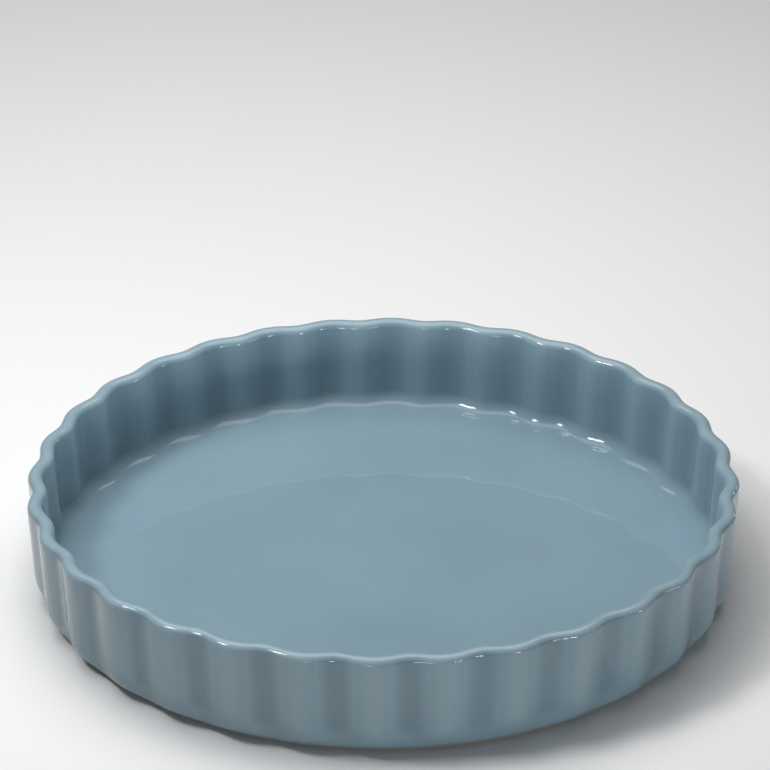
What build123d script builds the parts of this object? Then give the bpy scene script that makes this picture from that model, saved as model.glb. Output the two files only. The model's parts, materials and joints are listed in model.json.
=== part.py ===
from build123d import *
from math import cos, pi, sin
import os

# Fluted quiche dish: one fired clay body on a bare foot ring, and the glaze fused to it.
# Millimetres, +Z up. The origin is the middle of the face that the dish rests on.
# Sizes are over the glaze unless a name says clay.

# Size of the whole dish
rim_diameter = 280.0  # across the crests of the flutes
height = 44.0
wall_thickness = 6.2
wall_lean = 2.2  # how much further out the wall stands at the rim than at the table
rim_round_height = 2.6  # rise of the rounded rim above the straight wall

# Flutes, the same inside and outside
flute_pitch = 27.3  # from crest to crest along the rim
flute_depth = 2.2  # from crest to valley at the rim
crest_fullness = 0.06  # makes the crests wider and the valleys narrower than an even wave
foot_flute_depth = 0.4  # from crest to valley at the edge of the base
flute_start_level = 2.0  # level where the flutes start to deepen
flute_full_level = 7.6  # level above which they are at full depth

# Base
heel_width = 5.4  # how far the rounded heel draws in below the wall
heel_level = 13.6  # level where the heel meets the straight wall
floor_level = 6.8  # level of the baking floor
cove_radius = 5.5  # round between the inner wall and the floor
floor_flute_share = 0.85  # depth of the flutes where the cove meets the floor

# Foot ring, bare clay
foot_height = 2.2  # how far the clay of the base stands clear of the table
foot_ledge = 3.0  # from the start of the heel in to the foot ring
foot_width = 5.0
foot_round = 0.35
recess_depth = 2.0  # hollow inside the foot ring, up to the clay

# Glaze
glaze_thickness = 0.4

# Fineness of the spline sections
points_per_flute = 4
heel_steps = 6
wall_steps = 7
rim_steps = 10
inner_steps = 7
cove_steps = 5

# Sizes that follow
rim_radius = (rim_diameter - flute_depth) / 2
rim_level = height - rim_round_height
flute_count = round(pi * 2 * rim_radius / flute_pitch)
heel_rise = heel_level - foot_height + glaze_thickness
cove_level = floor_level + cove_radius
foot_radius = rim_radius - wall_lean - heel_width - foot_ledge
recess_radius = foot_radius - foot_width


def wall_radius(level):
    """Mean radius of the outer wall line at a level."""
    return rim_radius - wall_lean * (rim_level - level) / rim_level


def outer_wave(level):
    """Half the flute depth of the outer face, which fades towards the base."""
    rise = (level - flute_start_level) / (flute_full_level - flute_start_level)
    rise = min(max(rise, 0), 1)
    fade = rise * rise * (3 - 2 * rise)
    return (foot_flute_depth + (flute_depth - foot_flute_depth) * fade) / 2


def cove_wave(turn):
    """Half the flute depth along the cove, from the wall (0) to the floor (a quarter turn)."""
    return flute_depth / 2 * (1 - (1 - floor_flute_share) * (1 - cos(turn)))


def turns(whole_turn, steps):
    """Equal angles from zero up to a whole turn."""
    return [whole_turn * step / steps for step in range(steps + 1)]


def levels_between(start, end, steps):
    """Equal levels that lie between two levels."""
    return [start + (end - start) * step / steps for step in range(1, steps)]


def section_line(depth):
    """Stations (inset from the wall line, level, wave) at a depth under the glazed face."""
    # They run from the heel up the outside, over the rim and down the inside to the floor.
    line = []
    for turn in turns(pi / 2, heel_steps):
        inset = heel_width - (heel_width - depth) * sin(turn)
        level = heel_level - (heel_rise - depth) * cos(turn)
        line.append((inset, level, outer_wave(level)))
    for level in levels_between(heel_level, rim_level, wall_steps):
        line.append((depth, level, outer_wave(level)))
    for turn in turns(pi, rim_steps):
        inset = wall_thickness / 2 - (wall_thickness / 2 - depth) * cos(turn)
        level = rim_level + (rim_round_height - depth) * sin(turn)
        line.append((inset, level, flute_depth / 2))
    for level in levels_between(rim_level, cove_level, inner_steps):
        line.append((wall_thickness - depth, level, flute_depth / 2))
    for turn in turns(pi / 2, cove_steps):
        inset = wall_thickness + cove_radius - (cove_radius + depth) * cos(turn)
        level = cove_level - (cove_radius + depth) * sin(turn)
        line.append((inset, level, cove_wave(turn)))
    return line


def fluted_ring(inset, level, wave):
    """A closed line round the dish that follows the flutes."""
    count = flute_count * points_per_flute
    angles = turns(2 * pi, count)
    points = []
    for angle in angles[:-1]:
        turn = flute_count * angle
        flute = cos(turn) + crest_fullness * (1 - cos(2 * turn))
        radius = wall_radius(level) - inset + wave * flute
        points.append((radius * cos(angle), radius * sin(angle), level))
    return Wire([Edge.make_spline(points, periodic=True, parameters=angles)])


def fluted_solid(depth):
    """The dish at a depth under its glazed face, closed flat below the heel."""
    return Solid.make_loft([fluted_ring(*station) for station in section_line(depth)])


def disc(radius, bottom, top):
    """A round plate on the dish's axis."""
    return Pos(0, 0, bottom) * extrude(Circle(radius), top - bottom)


def clay_blank():
    """The clay before the hollow in its base is cut."""
    foot = disc(foot_radius, 0, (foot_height + floor_level) / 2)
    return fluted_solid(glaze_thickness) + foot


def stoneware_body(blank):
    """The fired clay with its foot ring, whose edges are wiped round."""
    body = blank - disc(recess_radius, 0, recess_depth)
    foot_edges = body.edges().filter_by(GeomType.CIRCLE).group_by(Axis.Z)[0]
    return fillet(foot_edges, min(foot_round, foot_width / 3, foot_height / 3))


def glaze_coat(blank):
    """The glaze outside, over the rim and inside, down to the foot ring."""
    return fluted_solid(0) - blank


def base_glaze():
    """The glaze in the hollow inside the foot ring."""
    return disc(recess_radius, recess_depth - glaze_thickness, recess_depth)


blank = clay_blank()
parts = {
    "stoneware_body": stoneware_body(blank),
    "glaze_coat": glaze_coat(blank),
    "base_glaze": base_glaze(),
}

os.makedirs("parts", exist_ok=True)
for name, part in parts.items():
    export_step(part, f"parts/{name}.step")

print("flutes", flute_count, "foot radius", round(foot_radius, 2))
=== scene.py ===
import bpy
import json
import math
from mathutils import Matrix, Vector


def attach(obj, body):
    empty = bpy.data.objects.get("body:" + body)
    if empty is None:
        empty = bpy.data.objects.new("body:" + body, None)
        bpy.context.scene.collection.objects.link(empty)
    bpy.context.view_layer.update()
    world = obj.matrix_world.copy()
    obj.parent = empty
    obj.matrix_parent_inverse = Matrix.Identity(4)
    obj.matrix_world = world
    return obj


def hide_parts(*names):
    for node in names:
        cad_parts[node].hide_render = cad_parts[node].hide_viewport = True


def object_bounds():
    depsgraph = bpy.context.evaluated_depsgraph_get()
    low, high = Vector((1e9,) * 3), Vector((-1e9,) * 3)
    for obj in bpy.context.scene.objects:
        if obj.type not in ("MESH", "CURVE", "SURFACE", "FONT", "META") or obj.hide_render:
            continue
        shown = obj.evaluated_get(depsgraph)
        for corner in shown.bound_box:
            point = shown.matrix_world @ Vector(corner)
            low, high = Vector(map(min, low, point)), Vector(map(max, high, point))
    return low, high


# Fluted quiche dish in blue-grey glazed stoneware. Metres, Z up, the dish standing on Z = 0.

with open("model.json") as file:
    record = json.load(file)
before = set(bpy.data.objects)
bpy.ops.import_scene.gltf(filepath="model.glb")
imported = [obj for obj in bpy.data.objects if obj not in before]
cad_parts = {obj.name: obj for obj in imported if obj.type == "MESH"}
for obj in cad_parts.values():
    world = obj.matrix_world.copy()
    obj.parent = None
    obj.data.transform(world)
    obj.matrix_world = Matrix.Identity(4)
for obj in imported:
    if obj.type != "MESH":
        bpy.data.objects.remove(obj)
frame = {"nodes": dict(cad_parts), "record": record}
cadLow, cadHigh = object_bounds()
floorMount = next(m for m in frame["record"]["mounts"] if m["name"] == "baking_floor")
print("frame loaded:", sorted(frame["nodes"]))

# The dish, measured over the glaze
dish = {
    "crestRadius": cadHigh.x,
    "height": cadHigh.z,
    "wall": 0.0062,
    "lean": 0.0022,  # how much further out the wall stands at the rim than at the table
    "rimRise": 0.0026,  # height of the rounded rim
    "flutes": 32,
    "fluteDepth": 0.0022,
    "crestFullness": 0.06,  # crests wider and valleys narrower than an even wave
    "footFluteDepth": 0.0004,
    "fluteLevels": (0.002, 0.0076),  # the flutes grow from the foot's depth to the full one between these
    "heelWidth": 0.0054,
    "heelLevel": 0.0136,
    "floorLevel": floorMount["pos_m"][2],
    "coveRadius": 0.0055,
    "floorFluteShare": 0.85,  # share of the flutes' depth left at the cove's foot
    "floorFade": 0.25,  # share of the floor's radius in which that dies out
    "glaze": 0.0004,
}

# The bare foot ring and the hollow inside it
foot = {
    "height": 0.0022,  # clay of the base above the table
    "ledge": 0.003,
    "width": 0.005,
    "round": 0.00025,
    "roundSteps": 4,
    "recess": 0.002,
    "glazeFillet": ((4, 0), (1.6, 0.2), (0.4, 0.8), (0, 1.2)),  # in from the side and down, in rounds
}

# How finely the section and the round are cut
fineness = {
    "heel": 9,
    "wall": 10,
    "rim": 20,
    "inside": 8,
    "cove": 12,
    "floor": 6,
    "hidden": 3,  # how many times coarser the section is where glaze and clay meet
    "perFlute": 12,
}

rimRadius = dish["crestRadius"] - dish["fluteDepth"] / 2
rimLevel = dish["height"] - dish["rimRise"]
heelRise = dish["heelLevel"] - foot["height"] + dish["glaze"]
footRadius = rimRadius - dish["lean"] - dish["heelWidth"] - foot["ledge"]
recessRadius = footRadius - foot["width"]


def wallRadius(level):
    return rimRadius - dish["lean"] * (rimLevel - level) / rimLevel


# Share of the full flute depth on the outside at a level
def outsideShare(level):
    start, full = dish["fluteLevels"]
    rise = min(max((level - start) / (full - start), 0), 1)
    low = dish["footFluteDepth"] / dish["fluteDepth"]
    return low + (1 - low) * rise * rise * (3 - 2 * rise)


# Stations (radius, level, flute share) from the heel over the rim to the cove's foot
def flutedLine(depth, coarser=1):
    line = []
    steps = fineness["heel"] // coarser
    for i in range(steps + 1):
        turn = math.pi / 2 * i / steps
        inset = dish["heelWidth"] - (dish["heelWidth"] - depth) * math.sin(turn)
        level = dish["heelLevel"] - (heelRise - depth) * math.cos(turn)
        line.append((wallRadius(level) - inset, level, outsideShare(level)))
    steps = fineness["wall"] // coarser
    for i in range(1, steps):
        level = dish["heelLevel"] + (rimLevel - dish["heelLevel"]) * i / steps
        line.append((wallRadius(level) - depth, level, outsideShare(level)))
    steps = fineness["rim"] // coarser
    for i in range(steps + 1):
        turn = math.pi * i / steps
        inset = dish["wall"] / 2 - (dish["wall"] / 2 - depth) * math.cos(turn)
        level = rimLevel + (dish["rimRise"] - depth) * math.sin(turn)
        line.append((wallRadius(level) - inset, level, 1))
    coveLevel = dish["floorLevel"] + dish["coveRadius"]
    steps = fineness["inside"] // coarser
    for i in range(1, steps):
        level = rimLevel + (coveLevel - rimLevel) * i / steps
        line.append((wallRadius(level) - dish["wall"] + depth, level, 1))
    steps = fineness["cove"] // coarser
    for i in range(steps + 1):
        turn = math.pi / 2 * i / steps
        inset = dish["wall"] + dish["coveRadius"] - (dish["coveRadius"] + depth) * math.cos(turn)
        level = coveLevel - (dish["coveRadius"] + depth) * math.sin(turn)
        share = 1 - (1 - dish["floorFluteShare"]) * (1 - math.cos(turn))
        line.append((wallRadius(level) - inset, level, share))
    return line


# The floor from the cove's foot in to the axis, where the flutes fade out
def floorLine(start, coarser=1):
    radius, level, share = start
    steps = fineness["floor"] // coarser
    line = []
    for i in range(1, steps + 1):
        inward = i / steps
        line.append((radius * (1 - inward), level, share * max(0, 1 - inward / dish["floorFade"])))
    return line


# The coat runs over the dish to the axis and back again along the clay
def coatSection():
    shown = flutedLine(0)
    shown += floorLine(shown[-1])
    hidden = flutedLine(dish["glaze"], fineness["hidden"])
    hidden += floorLine(hidden[-1], fineness["hidden"])
    edge = foot["height"] - dish["glaze"]
    lip = [
        (footRadius, foot["height"], 0),
        (footRadius, edge + foot["round"], 0),
        (footRadius + foot["round"] / 3, edge + foot["round"] / 3, 0),
        (footRadius + foot["round"], edge, 0),
    ]
    return lip + shown + hidden[::-1] + lip[:1]


def bodySection():
    rounding, steps = foot["round"], foot["roundSteps"]
    ring = [(0, foot["recess"], 0), (recessRadius / 2, foot["recess"], 0)]
    ring += [(recessRadius - rounding, foot["recess"], 0), (recessRadius, foot["recess"] - rounding, 0)]
    for i in range(steps + 1):
        turn = math.pi / 2 * i / steps
        ring.append((recessRadius + rounding * (1 - math.cos(turn)), rounding * (1 - math.sin(turn)), 0))
    ring.append((recessRadius + foot["width"] / 2, 0, 0))
    for i in range(steps + 1):
        turn = math.pi / 2 * i / steps
        ring.append((footRadius - rounding * (1 - math.sin(turn)), rounding * (1 - math.cos(turn)), 0))
    ring.append((footRadius, foot["height"], 0))
    clayLine = flutedLine(dish["glaze"], fineness["hidden"])
    return ring + clayLine + floorLine(clayLine[-1], fineness["hidden"])


def baseGlazeSection():
    low = foot["recess"] - dish["glaze"]
    line = [(0, low, 0), (recessRadius / 2, low, 0)]
    for inward, downward in foot["glazeFillet"]:
        line.append((recessRadius - inward * foot["round"], low - downward * foot["round"], 0))
    return line + [(recessRadius, foot["recess"], 0), (0, foot["recess"], 0)]


# Small helpers for node trees
def addNode(tree, kind, **settings):
    node = tree.nodes.new(kind)
    for key, value in settings.items():
        setattr(node, key, value)
    return node


# Puts a number, a colour or another node's output into a socket
def feed(tree, value, socket):
    if isinstance(value, (int, float)):
        socket.default_value = value
    elif isinstance(value, tuple):
        socket.default_value = (*value, 1)
    else:
        tree.links.new(value, socket)


def mathNode(tree, operation, *values):
    node = addNode(tree, "ShaderNodeMath", operation=operation)
    for value, socket in zip(values, node.inputs):
        feed(tree, value, socket)
    return node.outputs[0]


def vectorOf(tree, x, y, z=0.0):
    node = addNode(tree, "ShaderNodeCombineXYZ")
    for value, socket in zip((x, y, z), node.inputs):
        feed(tree, value, socket)
    return node.outputs[0]


def addInputs(tree, sockets):
    for name, kind in sockets:
        tree.interface.new_socket(name, in_out="INPUT", socket_type="NodeSocket" + kind)


# Geometry Nodes: turns a section line round the axis and presses the flutes into it
def turningTree():
    tree = bpy.data.node_groups.new("flutedTurning", "GeometryNodeTree")
    addInputs(tree, (
        ("Section", "Geometry"),
        ("Flutes", "Int"),
        ("Steps per Flute", "Int"),
        ("Flute Depth", "Float"),
        ("Crest Fullness", "Float"),
        ("Wander Scale", "Float"),
        ("Unevenness", "Float"),
        ("Depth Share", "Float"),
        ("Seed", "Float"),
        ("Weld Distance", "Float"),
        ("Finish", "Material"),
    ))
    tree.interface.new_socket("Turned", in_out="OUTPUT", socket_type="NodeSocketGeometry")
    given = addNode(tree, "NodeGroupInput").outputs
    result = addNode(tree, "NodeGroupOutput")

    # a grid with a row of points for each station of the section
    size = addNode(tree, "GeometryNodeAttributeDomainSize", component="MESH")
    feed(tree, given["Section"], size.inputs["Geometry"])
    around = mathNode(tree, "MULTIPLY", given["Flutes"], given["Steps per Flute"])
    columns = mathNode(tree, "ADD", around, 1)
    grid = addNode(tree, "GeometryNodeMeshGrid")
    feed(tree, size.outputs["Point Count"], grid.inputs["Vertices X"])
    feed(tree, columns, grid.inputs["Vertices Y"])

    index = addNode(tree, "GeometryNodeInputIndex").outputs[0]
    station = mathNode(tree, "FLOOR", mathNode(tree, "DIVIDE", index, columns))
    column = mathNode(tree, "SUBTRACT", index, mathNode(tree, "MULTIPLY", station, columns))
    spot = addNode(tree, "GeometryNodeSampleIndex", data_type="FLOAT_VECTOR", domain="POINT")
    feed(tree, given["Section"], spot.inputs["Geometry"])
    feed(tree, addNode(tree, "GeometryNodeInputPosition").outputs[0], spot.inputs["Value"])
    feed(tree, station, spot.inputs["Index"])
    share = addNode(tree, "GeometryNodeSampleIndex", data_type="FLOAT", domain="POINT")
    named = addNode(tree, "GeometryNodeInputNamedAttribute", data_type="FLOAT")
    named.inputs["Name"].default_value = "fluteShare"
    feed(tree, given["Section"], share.inputs["Geometry"])
    feed(tree, named.outputs["Attribute"], share.inputs["Value"])
    feed(tree, station, share.inputs["Index"])

    # the turn, with a slow wander so that no two flutes are quite alike
    turn = mathNode(tree, "MULTIPLY", mathNode(tree, "DIVIDE", column, around), 2 * math.pi)
    eastward = mathNode(tree, "COSINE", turn)
    northward = mathNode(tree, "SINE", turn)
    wander = addNode(tree, "ShaderNodeTexNoise", noise_dimensions="4D")
    wander.inputs["Detail"].default_value = 1.0
    feed(tree, given["Wander Scale"], wander.inputs["Scale"])
    feed(tree, vectorOf(tree, eastward, northward), wander.inputs["Vector"])
    feed(tree, given["Seed"], wander.inputs["W"])
    drift = mathNode(tree, "SUBTRACT", wander.outputs["Fac"], 0.5)
    uneven = mathNode(tree, "MULTIPLY", drift, given["Unevenness"])

    # the wave of the flutes
    phase = mathNode(tree, "ADD", mathNode(tree, "MULTIPLY", turn, given["Flutes"]), uneven)
    second = mathNode(tree, "COSINE", mathNode(tree, "MULTIPLY", phase, 2))
    fuller = mathNode(tree, "MULTIPLY", mathNode(tree, "SUBTRACT", 1, second), given["Crest Fullness"])
    crest = mathNode(tree, "ADD", mathNode(tree, "COSINE", phase), fuller)
    pressed = mathNode(tree, "MULTIPLY", crest, share.outputs[0])
    half = mathNode(tree, "MULTIPLY", given["Flute Depth"], 0.5)
    strength = mathNode(tree, "ADD", mathNode(tree, "MULTIPLY", uneven, given["Depth Share"]), 1)
    wave = mathNode(tree, "MULTIPLY", mathNode(tree, "MULTIPLY", pressed, half), strength)

    # each point goes to its place on the dish
    parts = addNode(tree, "ShaderNodeSeparateXYZ")
    feed(tree, spot.outputs[0], parts.inputs[0])
    radius = mathNode(tree, "ADD", parts.outputs["X"], wave)
    place = vectorOf(
        tree,
        mathNode(tree, "MULTIPLY", radius, eastward),
        mathNode(tree, "MULTIPLY", radius, northward),
        parts.outputs["Z"],
    )
    move = addNode(tree, "GeometryNodeSetPosition")
    feed(tree, grid.outputs["Mesh"], move.inputs["Geometry"])
    feed(tree, place, move.inputs["Position"])

    # what the glaze reads: 1 on a crest, 0 in a valley
    store = addNode(tree, "GeometryNodeStoreNamedAttribute", data_type="FLOAT", domain="POINT")
    store.inputs["Name"].default_value = "crest"
    feed(tree, move.outputs[0], store.inputs["Geometry"])
    feed(tree, mathNode(tree, "ADD", mathNode(tree, "MULTIPLY", pressed, 0.5), 0.5), store.inputs["Value"])

    weld = addNode(tree, "GeometryNodeMergeByDistance")
    outward = addNode(tree, "GeometryNodeFlipFaces")  # turned so, the grid's faces would point inwards
    smooth = addNode(tree, "GeometryNodeSetShadeSmooth")
    real = addNode(tree, "GeometryNodeRealizeInstances")
    paint = addNode(tree, "GeometryNodeSetMaterial")
    feed(tree, store.outputs[0], weld.inputs["Geometry"])
    feed(tree, given["Weld Distance"], weld.inputs["Distance"])
    feed(tree, weld.outputs[0], outward.inputs["Mesh"])
    feed(tree, outward.outputs[0], smooth.inputs["Geometry"])
    feed(tree, smooth.outputs[0], real.inputs["Geometry"])
    feed(tree, real.outputs[0], paint.inputs["Geometry"])
    feed(tree, given["Finish"], paint.inputs["Material"])
    feed(tree, paint.outputs[0], result.inputs["Turned"])
    return tree


def turnedPiece(name, section, tree, finish, inputs):
    line = bpy.data.meshes.new(name + "Section")
    line.from_pydata([(r, 0, z) for r, z, s in section], [(i, i + 1) for i in range(len(section) - 1)], [])
    share = line.attributes.new("fluteShare", "FLOAT", "POINT")
    share.data.foreach_set("value", [s for r, z, s in section])
    piece = bpy.data.objects.new(name, line)
    bpy.context.scene.collection.objects.link(piece)
    maker = piece.modifiers.new("turning", "NODES")
    maker.node_group = tree
    sockets = {item.name: item.identifier for item in tree.interface.items_tree if item.in_out == "INPUT"}
    for key, value in {**inputs, "Finish": finish}.items():
        maker[sockets[key]] = value
    graph = bpy.context.evaluated_depsgraph_get()
    mesh = bpy.data.meshes.new_from_object(piece.evaluated_get(graph))
    piece.modifiers.clear()
    piece.data = mesh
    mesh.name = name
    bpy.data.meshes.remove(line)
    print(name, "faces", len(mesh.polygons))
    return piece


# Shader helpers
def mapValue(tree, value, given, wanted, smooth=False):
    node = addNode(tree, "ShaderNodeMapRange")
    if smooth:
        node.interpolation_type = "SMOOTHSTEP"
    feed(tree, value, node.inputs["Value"])
    feed(tree, given[0], node.inputs["From Min"])
    feed(tree, given[1], node.inputs["From Max"])
    feed(tree, wanted[0], node.inputs["To Min"])
    feed(tree, wanted[1], node.inputs["To Max"])
    return node.outputs["Result"]


def noiseValue(tree, place, scale, detail, roughness, shift):
    node = addNode(tree, "ShaderNodeTexNoise", noise_dimensions="4D")
    feed(tree, place, node.inputs["Vector"])
    feed(tree, scale, node.inputs["Scale"])
    feed(tree, detail, node.inputs["Detail"])
    feed(tree, roughness, node.inputs["Roughness"])
    feed(tree, shift, node.inputs["W"])
    return node.outputs["Fac"]


def mixColour(tree, amount, first, second):
    node = addNode(tree, "ShaderNodeMix", data_type="RGBA", blend_type="MIX")
    node.clamp_factor = True
    for slot, value in ((0, amount), (6, first), (7, second)):  # the slots that a colour mix uses
        feed(tree, value, node.inputs[slot])
    return node.outputs[2]


def shadeColour(tree, colour, tone):
    node = addNode(tree, "ShaderNodeVectorMath", operation="SCALE")
    feed(tree, colour, node.inputs[0])
    feed(tree, tone, node.inputs["Scale"])
    return node.outputs[0]


# The relief is in metres
def addRelief(tree, height, shader):
    bump = addNode(tree, "ShaderNodeBump")
    feed(tree, 1.0, bump.inputs["Strength"])
    feed(tree, 1.0, bump.inputs["Distance"])
    feed(tree, height, bump.inputs["Height"])
    feed(tree, bump.outputs["Normal"], shader.inputs["Normal"])


# Shader group for both finishes: slow clouds from the kiln, fine grain and scattered specks
def kilnMarksGroup():
    emptyShare = 0.8  # share of the cells that hold no speck
    tree = bpy.data.node_groups.new("kilnMarks", "ShaderNodeTree")
    addInputs(tree, (
        ("Place", "Vector"),
        ("Cloud Scale", "Float"),
        ("Grain Scale", "Float"),
        ("Speck Scale", "Float"),
        ("Speck Size", "Float"),
    ))
    for name in ("Cloud", "Grain", "Speck"):
        tree.interface.new_socket(name, in_out="OUTPUT", socket_type="NodeSocketFloat")
    given = addNode(tree, "NodeGroupInput").outputs
    result = addNode(tree, "NodeGroupOutput").inputs
    cloud = noiseValue(tree, given["Place"], given["Cloud Scale"], detail=3.0, roughness=0.55, shift=1.7)
    grain = noiseValue(tree, given["Place"], given["Grain Scale"], detail=3.0, roughness=0.6, shift=4.2)
    cells = addNode(tree, "ShaderNodeTexVoronoi", feature="F1")
    feed(tree, given["Place"], cells.inputs["Vector"])
    feed(tree, given["Speck Scale"], cells.inputs["Scale"])
    lot = mathNode(tree, "FRACT", mathNode(tree, "MULTIPLY", cells.outputs["Color"], 7.3))  # any number does
    chosen = mathNode(tree, "GREATER_THAN", lot, emptyShare)
    spot = mapValue(tree, cells.outputs["Distance"], (0.0, given["Speck Size"]), (1.0, 0.0), smooth=True)
    feed(tree, cloud, result["Cloud"])
    feed(tree, grain, result["Grain"])
    feed(tree, mathNode(tree, "MULTIPLY", spot, chosen), result["Speck"])
    return tree


def placeGroup(tree, group, values):
    node = addNode(tree, "ShaderNodeGroup", node_tree=group)
    for key, value in values.items():
        feed(tree, value, node.inputs[key])
    return node.outputs


# A new material with its tree, its shader, the place on the piece and that place's parts
def newFinish(name):
    material = bpy.data.materials.new(name)
    material.use_nodes = True
    tree = material.node_tree
    place = addNode(tree, "ShaderNodeTexCoord").outputs["Object"]
    parts = addNode(tree, "ShaderNodeSeparateXYZ")
    feed(tree, place, parts.inputs[0])
    return material, tree, tree.nodes["Principled BSDF"], place, parts.outputs


# The glaze: opaque blue-grey gloss. A range runs from no effect to the full one.
glazeLook = {
    "colour": (0.260, 0.382, 0.452),
    "thin": (0.325, 0.440, 0.495),  # where it draws off the edges and the ridges; on the ridges it is also painted light of the flutes
    "deep": (0.158, 0.250, 0.305),  # where it gathers between the ridges, which is also painted shade in the flutes' hollows; the clouds darken towards it too
    "edgeShare": 0.55,
    "rimEdge": (0.0008, -0.0002),  # from above the wall's end to under the rim's top
    "footEdge": (0.0012, -0.0004),  # above and under the edge beside the foot ring
    "raggedness": 0.0016,  # how far the clouds shift those edges
    "crestShare": 0.4,
    "crestRange": (0.7, 1.05),
    "valleyShare": 0.7,  # outside
    "channelShare": 0.5,  # inside
    "valleyRange": (0.6, 0.0),
    "rimBlend": 0.001,  # half the width of the change from outside to inside
    "wallRange": (0.001, 0.007),  # the tint of the flutes starts this far above the floor
    "cloudScale": 9.0,
    "cloudShare": 0.3,
    "cloudRange": (0.32, 0.68),
    "grainScale": 420.0,
    "grainTone": (0.985, 1.015),
    "pinholeScale": 105.0,
    "pinholeSize": 0.055,
    "pinholeColour": (0.12, 0.17, 0.2),
    "pinholeShare": 0.45,
    "pinholeDepth": 0.00008,
    "swellScale": 38.0,
    "swellHeight": 0.00004,
    "peelScale": 210.0,
    "peelHeight": 0.000004,
    "roughness": (0.025, 0.05),
    "refraction": 1.5,
    "specularLevel": 0.5,
}
noiseRange = (0.3, 0.7)  # nearly all of a noise's values lie between these


# 1 on the inside of the leaning wall, 0 on the outside
def insideMask(tree, parts, blend):
    radius = addNode(tree, "ShaderNodeVectorMath", operation="LENGTH")
    feed(tree, vectorOf(tree, parts["X"], parts["Y"]), radius.inputs[0])
    leaning = mathNode(tree, "MULTIPLY", parts["Z"], dish["lean"] / rimLevel)
    upright = mathNode(tree, "SUBTRACT", radius.outputs["Value"], leaning)
    middle = rimRadius - dish["lean"] - dish["wall"] / 2
    return mapValue(tree, upright, (middle - blend, middle + blend), (1.0, 0.0), smooth=True)


# A ridge is a crest outside and a valley inside; the glaze draws off it and gathers beside it, and the same
# tint paints the flutes' light and shade: painted light on the ridges, painted shade in the hollows
def flutedTintAndShading(tree, tint, parts):
    look = glazeLook
    crest = addNode(tree, "ShaderNodeAttribute", attribute_name="crest").outputs["Fac"]
    inside = insideMask(tree, parts, look["rimBlend"])
    turned = mathNode(tree, "SUBTRACT", 1, mathNode(tree, "MULTIPLY", crest, 2))
    ridge = mathNode(tree, "ADD", crest, mathNode(tree, "MULTIPLY", inside, turned))
    low, high = look["wallRange"]
    levels = (dish["floorLevel"] + low, dish["floorLevel"] + high)
    onWall = mapValue(tree, parts["Z"], levels, (0.0, 1.0), smooth=True)
    gatherAndShadeShare = mapValue(tree, inside, (0.0, 1.0), (look["valleyShare"], look["channelShare"]))
    # painted shade in the hollows and painted light on the ridges, on top of the glaze's own pooling and
    # thinning
    gatheredAndShaded = mapValue(tree, ridge, look["valleyRange"], (0.0, gatherAndShadeShare), smooth=True)
    drawnAndLit = mapValue(tree, ridge, look["crestRange"], (0.0, look["crestShare"]), smooth=True)
    tint = mixColour(tree, mathNode(tree, "MULTIPLY", gatheredAndShaded, onWall), tint, look["deep"])
    return mixColour(tree, mathNode(tree, "MULTIPLY", drawnAndLit, onWall), tint, look["thin"])


# Ragged pale edges along the rim and beside the foot ring
def edgeMask(tree, parts, cloud):
    look = glazeLook
    ragged = mathNode(tree, "MULTIPLY", mathNode(tree, "SUBTRACT", cloud, 0.5), look["raggedness"])
    height = mathNode(tree, "ADD", parts["Z"], ragged)
    rimEdge = (rimLevel + look["rimEdge"][0], dish["height"] + look["rimEdge"][1])
    footEdge = (foot["height"] + look["footEdge"][0], foot["height"] + look["footEdge"][1])
    atRim = mapValue(tree, height, rimEdge, (0.0, look["edgeShare"]), smooth=True)
    atFoot = mapValue(tree, height, footEdge, (0.0, look["edgeShare"]), smooth=True)
    return mathNode(tree, "MAXIMUM", atRim, atFoot)


def glazeFinish(marks):
    look = glazeLook
    material, tree, shader, place, parts = newFinish("blueGreyGlaze")
    mark = placeGroup(tree, marks, {
        "Place": place,
        "Cloud Scale": look["cloudScale"],
        "Grain Scale": look["grainScale"],
        "Speck Scale": look["pinholeScale"],
        "Speck Size": look["pinholeSize"],
    })
    clouds = mapValue(tree, mark["Cloud"], look["cloudRange"], (0.0, look["cloudShare"]), smooth=True)
    tint = mixColour(tree, clouds, look["colour"], look["deep"])
    tint = flutedTintAndShading(tree, tint, parts)
    tint = mixColour(tree, edgeMask(tree, parts, mark["Cloud"]), tint, look["thin"])
    tint = shadeColour(tree, tint, mapValue(tree, mark["Grain"], noiseRange, look["grainTone"]))
    pinholes = mathNode(tree, "MULTIPLY", mark["Speck"], look["pinholeShare"])
    feed(tree, mixColour(tree, pinholes, tint, look["pinholeColour"]), shader.inputs["Base Color"])

    # gloss with a soft swell and a fine orange peel
    feed(tree, mapValue(tree, mark["Cloud"], noiseRange, look["roughness"]), shader.inputs["Roughness"])
    shader.inputs["IOR"].default_value = look["refraction"]
    shader.inputs["Specular IOR Level"].default_value = look["specularLevel"]
    swell = noiseValue(tree, place, look["swellScale"], detail=1.0, roughness=0.4, shift=2.6)
    peel = noiseValue(tree, place, look["peelScale"], detail=1.5, roughness=0.4, shift=6.1)
    relief = mathNode(
        tree,
        "ADD",
        mathNode(tree, "MULTIPLY", swell, look["swellHeight"]),
        mathNode(tree, "MULTIPLY", peel, look["peelHeight"]),
    )
    hole = mathNode(tree, "MULTIPLY", mark["Speck"], -look["pinholeDepth"])
    addRelief(tree, mathNode(tree, "ADD", relief, hole), shader)
    return material


# The bare clay of the foot ring: buff, dry and grainy
clayLook = {
    "colour": (0.56, 0.47, 0.37),
    "toasted": (0.47, 0.36, 0.26),
    "toastShare": 0.8,
    "toastStart": 0.0004,  # it deepens from this level up to the glaze
    "patchShare": 0.6,
    "patchRange": (0.5, 0.68),
    "grog": (0.22, 0.15, 0.1),
    "grogShare": 0.8,
    "cloudScale": 28.0,
    "grainScale": 900.0,
    "grainTone": (0.86, 1.1),
    "grainHeight": 0.00006,
    "speckScale": 330.0,
    "speckSize": 0.34,
    "roughness": (0.92, 0.76),
    "specularLevel": 0.25,
}


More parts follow.
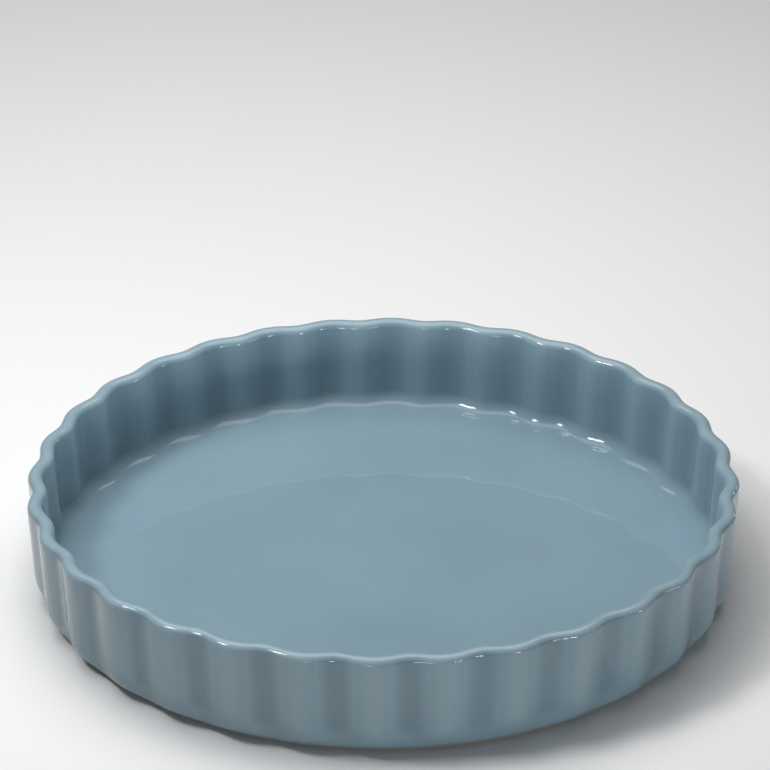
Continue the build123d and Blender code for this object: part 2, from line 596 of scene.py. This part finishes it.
def clayFinish(marks):
    look = clayLook
    material, tree, shader, place, parts = newFinish("bareStoneware")
    mark = placeGroup(tree, marks, {
        "Place": place,
        "Cloud Scale": look["cloudScale"],
        "Grain Scale": look["grainScale"],
        "Speck Scale": look["speckScale"],
        "Speck Size": look["speckSize"],
    })
    levels = (look["toastStart"], foot["height"])
    toasted = mapValue(tree, parts["Z"], levels, (0.0, look["toastShare"]), smooth=True)
    patches = mapValue(tree, mark["Cloud"], look["patchRange"], (0.0, look["patchShare"]), smooth=True)
    tint = mixColour(tree, mathNode(tree, "MAXIMUM", toasted, patches), look["colour"], look["toasted"])
    tint = shadeColour(tree, tint, mapValue(tree, mark["Grain"], noiseRange, look["grainTone"]))
    grog = mathNode(tree, "MULTIPLY", mark["Speck"], look["grogShare"])
    feed(tree, mixColour(tree, grog, tint, look["grog"]), shader.inputs["Base Color"])
    feed(tree, mapValue(tree, mark["Grain"], noiseRange, look["roughness"]), shader.inputs["Roughness"])
    shader.inputs["Specular IOR Level"].default_value = look["specularLevel"]
    addRelief(tree, mathNode(tree, "MULTIPLY", mark["Grain"], look["grainHeight"]), shader)
    return material


kilnMarks = kilnMarksGroup()
glaze = glazeFinish(kilnMarks)
clay = clayFinish(kilnMarks)
print("finishes made")

turning = turningTree()
flutedInputs = {
    "Flutes": dish["flutes"],
    "Steps per Flute": fineness["perFlute"],
    "Flute Depth": dish["fluteDepth"],
    "Crest Fullness": dish["crestFullness"],
    "Wander Scale": 3.2,
    "Unevenness": 0.35,  # how far a flute may stray, in radians of its own wave
    "Depth Share": 0.6,  # how much of that goes into its depth too
    "Seed": 3.0,
    "Weld Distance": 0.000002,
}
coat = turnedPiece("glazeCoat", coatSection(), turning, glaze, flutedInputs)
body = turnedPiece("firedBody", bodySection(), turning, clay, flutedInputs)
under = turnedPiece("baseGlaze", baseGlazeSection(), turning, glaze, flutedInputs)
for piece, node, slotName in (
    (coat, "glaze_coat", "blue_grey_glaze"),
    (body, "stoneware_body", "fired_stoneware"),
    (under, "base_glaze", "blue_grey_glaze"),
):
    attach(piece, "root")
    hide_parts(node)
print("pieces ride on the frame")

# Camera at the photograph's angle
view = {
    "distance": 1.5885,
    "azimuth": math.radians(1.76),
    "elevation": math.radians(30.294),
    "aim": Vector((0.00094, 0.0, 0.08386)),
    "roll": math.radians(0.238),
    "lens": 186.358,
    "sensor": 36,
    "reach": 50,
}
swing = Matrix.Rotation(view["azimuth"], 3, "Z")
outward = Vector((0, -math.cos(view["elevation"]), math.sin(view["elevation"])))
stand = view["distance"] * (swing @ outward)
lookAlong = (swing @ view["aim"]) - stand
facing = lookAlong.to_track_quat("-Z", "Y").to_matrix() @ Matrix.Rotation(-view["roll"], 3, "Z")
cameraData = bpy.data.cameras.new("camera")
cameraData.lens = view["lens"]
cameraData.sensor_width = view["sensor"]
cameraData.clip_end = view["reach"]
camera = bpy.data.objects.new("camera", cameraData)
bpy.context.scene.collection.objects.link(camera)
camera.location = stand
camera.rotation_euler = facing.to_euler()
bpy.context.scene.camera = camera
print("camera set")

# Pale floor: its full tone shows to the camera and in the gloss, and it throws back less light
floorLook = {
    "reach": 4,
    "shown": (0.92, 0.92, 0.92),
    "thrownBack": (0.4, 0.4, 0.4),
}
reach = floorLook["reach"]
corners = [(-reach, -reach, 0), (reach, -reach, 0), (reach, reach, 0), (-reach, reach, 0)]
floorMesh = bpy.data.meshes.new("floor")
floorMesh.from_pydata(corners, [], [(0, 1, 2, 3)])
floorPlane = bpy.data.objects.new("floor", floorMesh)
bpy.context.scene.collection.objects.link(floorPlane)
paper = bpy.data.materials.new("paleFloor")
paper.use_nodes = True
paperTree = paper.node_tree
paperShader = paperTree.nodes["Principled BSDF"]
ray = addNode(paperTree, "ShaderNodeLightPath").outputs
seen = mathNode(paperTree, "MAXIMUM", ray["Is Camera Ray"], ray["Is Glossy Ray"])
seen = mathNode(paperTree, "MAXIMUM", seen, ray["Is Transmission Ray"])
paperTone = mixColour(paperTree, seen, floorLook["thrownBack"], floorLook["shown"])
feed(paperTree, paperTone, paperShader.inputs["Base Color"])
paperShader.inputs["Roughness"].default_value = 1
paperShader.inputs["Specular IOR Level"].default_value = 0
floorMesh.materials.append(paper)

# Faint light from all round
worldStrength = 0.05
world = bpy.data.worlds.new("studio")
bpy.context.scene.world = world
world.use_nodes = True
background = world.node_tree.nodes["Background"]
background.inputs["Color"].default_value = (1, 1, 1, 1)
background.inputs["Strength"].default_value = worldStrength

# The lamps: brightness is that of the lamp's face, and the gloss doesn't mirror every one
tableAim = (0, 0, 0)
wallAim = (0, 0, 0.03)
studio = {
    "overhead": dict(place=(-0.05, 0.30, 0.80), aim=(-0.05, 0.30, 0), size=(0.85, 0.85), brightness=2.0),
    "key": dict(place=(-0.15, 0.00, 0.50), aim=tableAim, size=(0.28, 0.28), brightness=3.0, mirrored=False),
    "keyLeft": dict(place=(-0.62, -0.16, 0.92), aim=tableAim, size=(0.26, 0.20), brightness=22.0),
    "front": dict(place=(-0.12, -1.00, 0.085), aim=wallAim, size=(0.26, 0.055), brightness=32.0, beam=60),
    "frontRight": dict(place=(0.62, -0.84, 0.085), aim=wallAim, size=(0.24, 0.05), brightness=62.0, beam=60),
    "sparkRight": dict(place=(0.97, -0.24, 0.12), aim=wallAim, size=(0.14, 0.04), brightness=32.0, beam=60),
    "sparkBack": dict(place=(0.76, 0.64, 0.14), aim=wallAim, size=(0.07, 0.04), brightness=16.0, beam=60),
}


def softbox(name, place, aim, size, brightness, beam=180, mirrored=True):
    half = math.radians(beam) / 2
    narrowing = 1 - half / math.tan(half)  # keeps the face as bright when the beam is narrow
    lamp = bpy.data.lights.new(name, "AREA")
    lamp.shape = "RECTANGLE"
    lamp.size, lamp.size_y = size
    lamp.spread = math.radians(beam)
    lamp.energy = math.pi * lamp.size * lamp.size_y * brightness * narrowing
    holder = bpy.data.objects.new(name, lamp)
    bpy.context.scene.collection.objects.link(holder)
    holder.visible_glossy = mirrored
    holder.location = place
    holder.rotation_euler = (Vector(aim) - Vector(place)).to_track_quat("-Z", "Y").to_euler()


for name, settings in studio.items():
    softbox(name, **settings)
bpy.context.scene.view_settings.view_transform = "Standard"
print("studio lit by", len(studio), "lamps")
